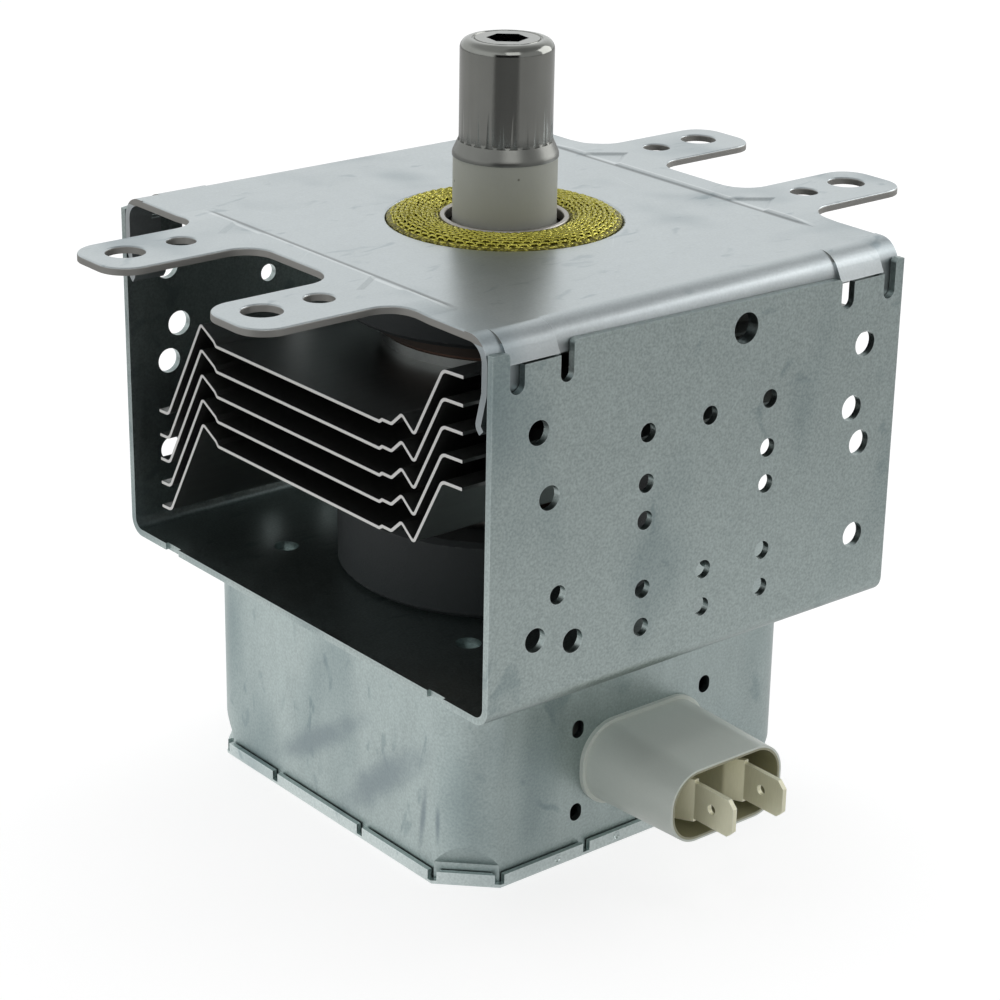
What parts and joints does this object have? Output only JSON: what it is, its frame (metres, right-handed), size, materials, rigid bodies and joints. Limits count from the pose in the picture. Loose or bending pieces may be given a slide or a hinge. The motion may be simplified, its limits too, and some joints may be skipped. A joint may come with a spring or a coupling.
{
  "type": "magnetron",
  "caption": "Microwave-oven magnetron with folded steel yokes, cooling fins, capped antenna, eared mounting plate, filter box and plug socket.",
  "frame": {"origin": "centre of the ears' bolt pattern on the upper mounting face, where the antenna's axis crosses it", "axes": "+Z along the antenna, away from the yokes; the ears reach out along X; the plug faces -Y"},
  "size_m": [0.134, 0.112, 0.1266],
  "materials": {
    "galvanised_sheet": "satin zinc-coated sheet with fine spangle and light scuffs",
    "stainless_cap": "smooth drawn stainless steel, semi-gloss",
    "plated_iron": "plated soft iron, satin",
    "knitted_brass": "knitted brass wire, slightly green",
    "alumina": "unglazed warm white ceramic, matte",
    "ferrite": "dark sintered ferrite, matte",
    "copper": "bare copper, satin",
    "fin_aluminium": "rolled aluminium sheet, satin with bright cut edges",
    "molybdenum": "grey refractory metal, satin",
    "tungsten": "dark grey tungsten wire",
    "moulded_plug": "cream moulded plastic, satin",
    "tinned_brass": "tin-plated brass, dull silver with a yellow cast",
    "enamelled_wire": "copper wire in clear brown enamel"
  },
  "bodies": {
    "root": {"anode_cylinder": "copper", "anode_vane_1": "copper", "anode_vane_10": "copper", "anode_vane_2": "copper", "anode_vane_3": "copper", "anode_vane_4": "copper", "anode_vane_5": "copper", "anode_vane_6": "copper", "anode_vane_7": "copper", "anode_vane_8": "copper", "anode_vane_9": "copper", "antenna_cap": "stainless_cap", "antenna_lead": "copper", "capacitor_case": "moulded_plug", "capacitor_ceramic": "alumina", "centre_lead": "molybdenum", "centre_lead_strip": "molybdenum", "choke_coil_1": "enamelled_wire", "choke_coil_2": "enamelled_wire", "choke_core_1": "ferrite", "choke_core_2": "ferrite", "clamp_plate": "galvanised_sheet", "exhaust_tube": "copper", "filament": "tungsten", "filter_box": "galvanised_sheet", "filter_cover": "galvanised_sheet", "fin_1": "fin_aluminium", "fin_2": "fin_aluminium", "fin_3": "fin_aluminium", "fin_4": "fin_aluminium", "fin_5": "fin_aluminium", "gasket_collar": "plated_iron", "input_side_shell": "plated_iron", "lower_end_hat": "molybdenum", "lower_large_strap": "copper", "lower_magnet": "ferrite", "lower_pole_piece": "plated_iron", "lower_small_strap": "copper", "lower_yoke": "galvanised_sheet", "output_ceramic": "alumina", "output_side_shell": "plated_iron", "plug_housing": "moulded_plug", "rf_gasket": "knitted_brass", "side_lead": "molybdenum", "side_lead_strip": "molybdenum", "stem_ceramic": "alumina", "terminal_blade_1": "tinned_brass", "terminal_blade_2": "tinned_brass", "through_rod_1": "copper", "through_rod_2": "copper", "upper_end_hat": "molybdenum", "upper_large_strap": "copper", "upper_magnet": "ferrite", "upper_pole_piece": "plated_iron", "upper_small_strap": "copper", "upper_yoke": "galvanised_sheet"}
  },
  "joints": []
}
